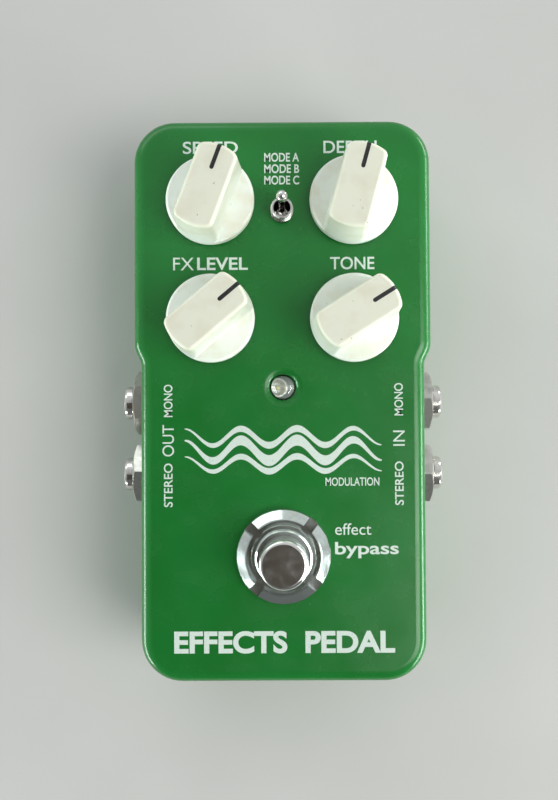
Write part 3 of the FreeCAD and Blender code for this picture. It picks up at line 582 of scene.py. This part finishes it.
# %% Legends
def legend(name, words, centre, width, height, turn=0.0, heavy=0.0):
    """Printed words in millimetres: centre, width and height as they lie before the turn."""
    letters = bpy.data.curves.new(name, "FONT")
    letters.body = words
    letters.offset = heavy
    letters.extrude = 0.5
    setter = bpy.data.objects.new(name + "_setter", letters)
    bpy.context.scene.collection.objects.link(setter)
    mesh = plain_mesh(setter, name)
    low, high = [Vector(map(side, zip(*[v.co for v in mesh.vertices]))) for side in (min, max)]
    size = high - low
    mesh.transform(Matrix.Translation(-(low + high) / 2))
    mesh.transform(Matrix.Diagonal((width * MM / size.x, height * MM / size.y, INK_THICK, 1)))
    at = Matrix.Translation((centre[0] * MM, centre[1] * MM, INK_Z))
    mesh.transform(at @ Matrix.Rotation(math.radians(turn), 4, "Z"))
    mesh.materials.clear()
    mesh.materials.append(ink.material)
    set_down(name, mesh, "case")
    print(words, width, "by", height, "mm")


MEDIUM, BOLD, HEAVY, BLACK = 0.012, 0.018, 0.020, 0.035  # how far a letter's outline is widened
legend("legend_speed", "SPEED", (-15.5, 54.8), 12.0, 2.7, heavy=MEDIUM)
legend("legend_depth", "DEPTH", (14.9, 54.8), 11.6, 2.7, heavy=MEDIUM)
legend("legend_level_thin", "FX", (-21.4, 29.4), 4.5, 2.75)
legend("legend_level", "LEVEL", (-12.95, 29.4), 11.0, 2.75, heavy=BOLD)
legend("legend_tone", "TONE", (15.2, 29.4), 9.6, 2.75, heavy=MEDIUM)
for letter, y, width in (("A", 52.6, 7.6), ("B", 50.1, 7.6), ("C", 47.6, 7.6)):
    legend(f"legend_mode_{letter}", "MODE " + letter, (0, y), width, 1.95, heavy=HEAVY)
legend("legend_out_mono", "MONO", (-24.8, -0.3), 7.0, 1.9, 90, MEDIUM)
legend("legend_out", "OUT", (-24.8, -8.9), 6.8, 2.5, 90)
legend("legend_out_stereo", "STEREO", (-24.8, -18.5), 9.4, 1.9, 90, MEDIUM)
legend("legend_in_mono", "MONO", (25.0, -0.2), 7.0, 1.9, 90, MEDIUM)
legend("legend_in", "IN", (25.0, -8.6), 3.3, 2.5, 90)
legend("legend_in_stereo", "STEREO", (25.0, -18.3), 9.4, 1.9, 90, MEDIUM)
legend("legend_modulation", "MODULATION", (14.9, -17.9), 11.6, 1.8, heavy=MEDIUM)
legend("legend_effect", "effect", (15.0, -28.1), 7.8, 2.5)
legend("legend_bypass", "bypass", (17.9, -32.6), 13.7, 3.5, heavy=BOLD)
legend("legend_pedal", "EFFECTS  PEDAL", (0.1, -52.2), 47.4, 4.8, heavy=BLACK)

# %% [markdown]
# ## The wave emblem
#
# A plain emblem of three sine waves stands for the pedal's effect. A sine is a rule, so a tree
# draws it: a thin slab of many small steps, moved sideways by the sine of its own length, and
# narrowed towards both ends so that the stroke tapers like a brush mark.

# %% Wave tree
wave, given = new_tree("wave_stroke", {
    "Length": 0.04, "Width": 0.0015, "Thick": 0.00004, "Swing": 0.002, "Waves": 3.0,
})
size = add(wave, "ShaderNodeCombineXYZ", {0: given["Length"], 1: given["Width"], 2: given["Thick"]})
slab = add(wave, "GeometryNodeMeshCube", {0: size.outputs[0], 1: 181, 2: 2, 3: 2})
place = add(wave, "ShaderNodeSeparateXYZ", {0: add(wave, "GeometryNodeInputPosition").outputs[0]})


def sums(how, a, b=0.0):
    """A sum inside the wave tree."""
    return add(wave, "ShaderNodeMath", {0: a, 1: b}, operation=how).outputs[0]


share = sums("DIVIDE", place.outputs["X"], given["Length"])
swing = sums("SINE", sums("MULTIPLY", sums("MULTIPLY", share, given["Waves"]), 2 * math.pi))
CLOSING, ROUNDNESS = 3.9, 0.6  # a closing of 4 would bring each end to a point
narrowing = sums("MULTIPLY", sums("MULTIPLY", share, share), CLOSING)
taper = sums("POWER", sums("SUBTRACT", 1.0, narrowing), ROUNDNESS)
inwards = sums("MULTIPLY", place.outputs["Y"], sums("SUBTRACT", taper, 1.0))
shift = sums("ADD", sums("MULTIPLY", swing, given["Swing"]), inwards)
offset = add(wave, "ShaderNodeCombineXYZ", {0: 0.0, 1: shift, 2: 0.0})
moved = {"Geometry": slab.outputs[0], "Offset": offset.outputs[0]}
bent = add(wave, "GeometryNodeSetPosition", moved)
end_tree(wave, bent.outputs[0], given)

# %% Print the waves
strokes = [(-8.2, 1.5, 1.8), (-11.1, 2.4, 2.2), (-14.0, 1.4, 1.6)]  # y, width and swing in mm
for row, (y, width, swing_mm) in enumerate(strokes):
    sizes = {"Length": 42.5 * MM, "Width": width * MM, "Swing": swing_mm * MM, "Waves": 3.5}
    at = Matrix.Translation((0, y * MM, INK_Z))
    grow(f"emblem_wave_{row + 1}", wave, {**sizes, "Thick": INK_THICK}, ink, "case", at)

# %% [markdown]
# ## Inside the indicator
#
# A light-emitting diode stands on two posts. The wider one ends in a small cup that holds the die.
# They are too small for patterns or trees, so they are turned or cut from a few points.


# %% Turned and cut pieces
def keep(name, work, finish, centre=(0, 0, 0)):
    """Keeps finished work as a piece of one finish, moved to a centre, on the case."""
    bmesh.ops.recalc_face_normals(work, faces=work.faces)
    mesh = bpy.data.meshes.new(name)
    work.to_mesh(mesh)
    work.free()
    mesh.transform(Matrix.Translation(centre))
    mesh.materials.append(finish.material)
    set_down(name, mesh, "case")
    print(name, len(mesh.polygons), "faces")


def lathe(name, profile, finish, centre, steps=48):
    """A closed outline of (radius, height) in millimetres, turned about an upright axis."""
    work = bmesh.new()
    rings = []
    for i in range(steps):
        a = 2 * math.pi * i / steps
        x, y = MM * math.cos(a), MM * math.sin(a)
        rings.append([work.verts.new((r * x, r * y, z * MM)) for r, z in profile])
    for i in range(steps):
        here, there = rings[i], rings[(i + 1) % steps]
        for j in range(len(profile)):
            k = (j + 1) % len(profile)
            work.faces.new(dict.fromkeys([here[j], there[j], there[k], here[k]]))
    bmesh.ops.remove_doubles(work, verts=work.verts, dist=1e-7)
    bmesh.ops.dissolve_degenerate(work, edges=work.edges, dist=1e-8)
    keep(name, work, finish, centre)


def blocks(name, boxes, finish, bevel):
    """Several small blocks, each given by its low and high corners in metres, as one mesh."""
    work = bmesh.new()
    for low, high in boxes:
        low, high = Vector(low), Vector(high)
        for v in bmesh.ops.create_cube(work, size=1.0)["verts"]:
            v.co = [v.co[i] * (high[i] - low[i]) + (high[i] + low[i]) / 2 for i in range(3)]
    edges = {"geom": work.edges[:], "affect": "EDGES"}
    bmesh.ops.bevel(work, **edges, offset=bevel, segments=2, profile=0.5)
    keep(name, work, finish)


print("lathe and saw ready")

# %% Posts, cup and die
lens_low, lens_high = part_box("led_lens")
floor_z = lens_low.z + 0.0002
cup_z = lens_high.z - 0.0040
POST_HALF, DIE_HALF = 0.00028, 0.00018
front, back = lamp.y - POST_HALF, lamp.y + POST_HALF
posts = [
    ((-0.00155, front, floor_z), (-0.00035, back, cup_z)),
    ((0.00060, front, floor_z), (0.00150, back, cup_z + 0.0006)),
]
blocks("led_posts", posts, tin, 0.00008)
cup = [(0.0, -0.5), (0.75, -0.5), (1.05, 0.45), (0.92, 0.5), (0.45, -0.1), (0.0, -0.1)]
CUP_X = -0.0005
lathe("led_cup", cup, tin, (CUP_X, lamp.y, cup_z))
die_finish = moulded("led_die", (0.80, 0.62, 0.16), 0.35)
die_low = (CUP_X - DIE_HALF, lamp.y - DIE_HALF, cup_z - 0.0001)
die_high = (CUP_X + DIE_HALF, lamp.y + DIE_HALF, cup_z + 0.00012)
blocks("led_die", [(die_low, die_high)], die_finish, 0.00002)

# %% [markdown]
# ## Rows: legs, contacts and solder joints
#
# Chips have rows of bent legs, sockets have rows of contacts, and every part that goes through the
# board ends in a row of small solder domes. They differ only in number, spacing and size, so one
# tree makes a row of blocks and another makes a row of domes, and each row is laid where it
# belongs.

# %% Row trees
def size_of(tree, across, deep, high):
    """Three sizes as one vector."""
    return add(tree, "ShaderNodeCombineXYZ", {0: across, 1: deep, 2: high}).outputs[0]


def end_in_row(tree, shape, given):
    """Ends a tree in Count copies of a shape, Pitch apart."""
    step = size_of(tree, given["Pitch"], 0.0, 0.0)
    line = add(tree, "GeometryNodeMeshLine", {"Count": given["Count"], "Offset": step})
    copies = {"Points": line.outputs[0], "Instance": shape.outputs[0]}
    end_tree(tree, add(tree, "GeometryNodeInstanceOnPoints", copies).outputs[0], given)


leg_row, given = new_tree("leg_row", {
    "Count": 8, "Pitch": 0.0009, "Width": 0.0004, "Length": 0.001, "Thick": 0.0002,
})
size = size_of(leg_row, given["Width"], given["Length"], given["Thick"])
end_in_row(leg_row, add(leg_row, "GeometryNodeMeshCube", {"Size": size}), given)

dome_row, given = new_tree("dome_row", {
    "Count": 3, "Pitch": 0.0025, "Radius": 0.0008, "Height": 0.0006,
})
ball = add(dome_row, "GeometryNodeMeshUVSphere", {"Segments": 20, "Rings": 12, "Radius": 1.0})
flat = size_of(dome_row, given["Radius"], given["Radius"], given["Height"])
flattened = {"Geometry": ball.outputs[0], "Scale": flat}
end_in_row(dome_row, add(dome_row, "GeometryNodeTransform", flattened), given)


# %% Lay rows of legs
def at_mm(x, y, z, turn=0.0):
    """A place in millimetres, turned about an upright axis."""
    turned = Matrix.Rotation(math.radians(turn), 4, "Z")
    return Matrix.Translation((x * MM, y * MM, z * MM)) @ turned


def lay(name, tree, sizes, x, y, z, turn=0.0):
    """Grows one row in tin, with its first copy at a place in millimetres."""
    grow(name, tree, sizes, tin, "case", at_mm(x, y, z, turn))


board_low, board_high = (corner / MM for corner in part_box("main_board"))
UNDER, OVER = board_low.z, board_high.z
LEG_Z = OVER + 0.12
CHIP_Y, CHIP_REACH, CHIP_FIRST = 26.0, 5.4, 4.05  # its middle, its legs' middle, its first leg
chip_sides = [
    (-CHIP_FIRST, CHIP_Y - CHIP_REACH, 0), (-CHIP_FIRST, CHIP_Y + CHIP_REACH, 0),
    (-CHIP_REACH, CHIP_Y - CHIP_FIRST, 90), (CHIP_REACH, CHIP_Y - CHIP_FIRST, 90),
]
big = {"Count": 10, "Pitch": 0.9 * MM, "Width": 0.4 * MM, "Length": 1.0 * MM, "Thick": 0.2 * MM}
for i, (x, y, turn) in enumerate(chip_sides):
    lay(f"chip_legs_{i + 1}", leg_row, big, x, y, LEG_Z, turn)
SMALL_CHIP_X, SMALL_CHIP_Y = 3.35, 11.6
small = {**big, "Count": 4, "Pitch": 1.27 * MM, "Width": 0.45 * MM, "Length": 0.9 * MM}
for i, x in enumerate((-SMALL_CHIP_X, SMALL_CHIP_X)):
    lay(f"small_chip_legs_{i + 1}", leg_row, small, x, SMALL_CHIP_Y, LEG_Z, 90)
mini = {"Count": 5, "Pitch": 0.8 * MM, "Width": 0.4 * MM, "Length": 1.2 * MM, "Thick": 0.25 * MM}
usb_x = middle("usb_socket").x / MM - 1.6
usb_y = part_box("usb_socket")[0].y / MM - 0.5
lay("usb_legs", leg_row, mini, usb_x, usb_y, UNDER - 0.1)

# %% Lay rows of solder joints
REAR_GAP, FRONT_GAP = 4.6, 3.6  # from a control's middle to its joints
three = {"Count": 3, "Pitch": 2.5 * MM, "Radius": 0.75 * MM, "Height": 0.55 * MM}
for control in controls:
    pot = middle(f"{control}_pot") / MM
    gap = REAR_GAP if pot.y > 30 else FRONT_GAP
    lay(f"{control}_joints", dome_row, three, pot.x - 2.5, pot.y - gap, UNDER)
lay("toggle_joints", dome_row, three, -2.5, 38.4, UNDER)
RELAY_Y, RELAY_FIRSTS = 10.6, (-20.05, 12.95)
pair = {"Count": 2, "Pitch": 7.1 * MM, "Radius": 0.7 * MM, "Height": 0.5 * MM}
for i, x in enumerate(RELAY_FIRSTS):
    lay(f"relay_joints_{i + 1}", dome_row, pair, x, RELAY_Y, UNDER)

# %% [markdown]
# ## Small parts scattered on the board
#
# Resistors and ceramic capacitors are tiny blocks with tinned ends, in loose rows wherever there
# is room. A grid of points with some left out, and each block turned one way or the other, gives
# that look. The seed is fixed, so the bodies and their tinned ends come from the same choices.

# %% Small parts tree
chips_tree, given = new_tree("small_parts", {
    "Across": 0.02, "Deep": 0.005, "Columns": 9, "Rows": 3, "Seed": 4,
    "Length": 0.0012, "Width": 0.0008, "Thick": 0.0005, "Reach": 0.0,
})
grid = add(chips_tree, "GeometryNodeMeshGrid", {
    "Size X": given["Across"], "Size Y": given["Deep"],
    "Vertices X": given["Columns"], "Vertices Y": given["Rows"],
})


def chance(share):
    """True for about this share of the points, from the tree's seed."""
    inputs = {"Probability": share, "Seed": given["Seed"]}
    return add(chips_tree, "FunctionNodeRandomValue", inputs, data_type="BOOLEAN").outputs[3]


kept, turned = chance(0.78), chance(0.35)
quarter = {0: turned, 1: math.pi / 2}
angle = add(chips_tree, "ShaderNodeMath", quarter, operation="MULTIPLY").outputs[0]
spin = size_of(chips_tree, 0.0, 0.0, angle)
size = size_of(chips_tree, given["Length"], given["Width"], given["Thick"])
block = add(chips_tree, "GeometryNodeMeshCube", {"Size": size})
reversed_reach = {0: given["Reach"], 1: -1.0}
back = add(chips_tree, "ShaderNodeMath", reversed_reach, operation="MULTIPLY").outputs[0]
ends = add(chips_tree, "GeometryNodeJoinGeometry")
for reach in (given["Reach"], back):
    aside = {"Geometry": block.outputs[0], "Translation": size_of(chips_tree, reach, 0.0, 0.0)}
    end = add(chips_tree, "GeometryNodeTransform", aside)
    chips_tree.links.new(end.outputs[0], ends.inputs[0])
placed = add(chips_tree, "GeometryNodeInstanceOnPoints", {
    "Points": grid.outputs[0], "Selection": kept, "Instance": ends.outputs[0], "Rotation": spin,
})
end_tree(chips_tree, placed.outputs[0], given)

# %% Scatter the small parts
FIRST_SEED = 11
ceramic = moulded("ceramic", (0.17, 0.115, 0.07), 0.45, 0.2, 0.004)
areas = [  # middle x and y, across and deep in millimetres, columns, rows
    (-14.0, 42.4, 15.0, 3.6, 8, 3),
    (13.5, 42.4, 14.0, 3.6, 8, 3),
    (0.0, 10.6, 20.0, 3.4, 9, 3),
    (-26.3, 19.0, 2.4, 13.0, 2, 7),
]
for i, (x, y, across, deep, columns, rows) in enumerate(areas):
    spread = {"Across": across * MM, "Deep": deep * MM, "Columns": columns, "Rows": rows}
    spread["Seed"] = FIRST_SEED + i
    body = {**spread, "Length": 0.5 * MM, "Width": 0.75 * MM, "Thick": 0.5 * MM, "Reach": 0.18 * MM}
    tips = {**spread, "Length": 0.3 * MM, "Width": 0.8 * MM, "Thick": 0.56 * MM, "Reach": 0.55 * MM}
    here = at_mm(x, y, UNDER - 0.24)
    grow(f"small_parts_{i + 1}", chips_tree, body, ceramic, "case", here)
    grow(f"small_part_tips_{i + 1}", chips_tree, tips, tin, "case", here)

# %% [markdown]
# ## Studio: floor, light and camera
#
# Shiny things look like what is around them, so the studio matters as much as the materials. A
# pale floor and a soft sky give even light. A large soft lamp to the front right shapes the knobs,
# long low strips at the sides draw bright lines along the rounded edges, a wide window stands
# behind, and a dark flag high above gives the chrome and the enamel something dark to reflect. The
# sky is dimmer towards the front, as a room is on the side away from its window.


# %% Stage
def flat_sheet(name, low, high, z, finish):
    """A level rectangle that belongs to the studio."""
    (left, front), (right, back) = low, high
    corners = [(left, front, z), (right, front, z), (right, back, z), (left, back, z)]
    mesh = bpy.data.meshes.new(name)
    mesh.from_pydata(corners, [], [(0, 1, 2, 3)])
    mesh.materials.append(finish.material)
    sheet = bpy.data.objects.new(name, mesh)
    bpy.context.scene.collection.objects.link(sheet)
    print(name, "from", low, "to", high)
    return sheet


pale = Finish("pale_floor", (0.56, 0.555, 0.54), 0.75)
where = pale.where()
shade = pale.band(pale.cloud(where, 60.0, 3.0), 0.3, 0.7)
pale.paint(pale.blend(shade, (0.54, 0.535, 0.52), (0.58, 0.575, 0.56)))
flat_sheet("floor", (-3, -3), (3, 3), 0.0, pale)
dark = Finish("dark_flag", (0.050, 0.038, 0.028), 0.9)
flag = flat_sheet("flag", (-0.34, -0.60), (0.07, 0.06), 0.75, dark)
flag.visible_camera = False
flag.visible_shadow = False
flag.visible_diffuse = False

# %% Light
scene = bpy.context.scene
world = bpy.data.worlds.new("soft_sky")
world.use_nodes = True
background = world.node_tree.nodes["Background"]
background.inputs["Color"].default_value = (0.96, 0.99, 1.0, 1.0)
towards = add(world.node_tree, "ShaderNodeTexCoord").outputs["Generated"]
rearward = add(world.node_tree, "ShaderNodeSeparateXYZ", {0: towards}).outputs["Y"]
fade = add(world.node_tree, "ShaderNodeMapRange", {0: rearward, 1: -0.7, 2: 0.6, 3: 0.16, 4: 0.72})
world.node_tree.links.new(fade.outputs[0], background.inputs["Strength"])
scene.world = world


def lamp_at(name, place, aim, width, height, watts, tint=(1.0, 1.0, 1.0)):
    """A soft rectangular lamp at a place, facing a point."""
    data = bpy.data.lights.new(name, "AREA")
    data.shape, data.size, data.size_y = "RECTANGLE", width, height
    data.energy, data.color = watts, tint
    light = bpy.data.objects.new(name, data)
    light.location = place
    light.rotation_euler = (Vector(aim) - Vector(place)).to_track_quat("-Z", "Y").to_euler()
    scene.collection.objects.link(light)
    print(name, watts, "W")


MINT = (0.90, 1.0, 0.98)
lamp_at("key", (0.50, -0.20, 0.80), (0, 0, 0.03), 0.55, 0.55, 5.2, (1.0, 0.99, 0.96))
lamp_at("right_front_strip", (0.60, -0.26, 0.05), (0, -0.03, 0.03), 0.60, 0.085, 4.2, MINT)
lamp_at("right_rear_strip", (0.60, 0.30, 0.05), (0, 0.03, 0.03), 0.50, 0.085, 1.8, MINT)
lamp_at("left_front_strip", (-0.60, -0.26, 0.05), (0, -0.03, 0.03), 0.60, 0.085, 4.0, MINT)
lamp_at("rear_window", (-0.35, 0.62, 0.34), (0, 0, 0.03), 0.70, 0.30, 1.1, MINT)
scene.view_settings.view_transform = "Standard"

# %% Camera
camera_data = bpy.data.cameras.new("camera")
camera_data.lens, camera_data.sensor_width = 41.67, 36.0
camera = bpy.data.objects.new("camera", camera_data)
camera.location = (-0.0002, -0.0057, top_face + 0.200)
camera.rotation_euler = (math.radians(1.565), math.radians(0.19), math.radians(-0.3))
camera_data.clip_start = 0.01
scene.collection.objects.link(camera)
scene.camera = camera
print("camera", round(camera.location.z / MM), "mm above the floor")

# %% [markdown]
# ## Finish
#
# The last cell prints the CAD parts that were left without a finish.

# %% Parts left without a finish
left_plain = sorted(set(nodes) - set(finished) - {"footswitch_spring"})
print("parts without a finish:", left_plain)
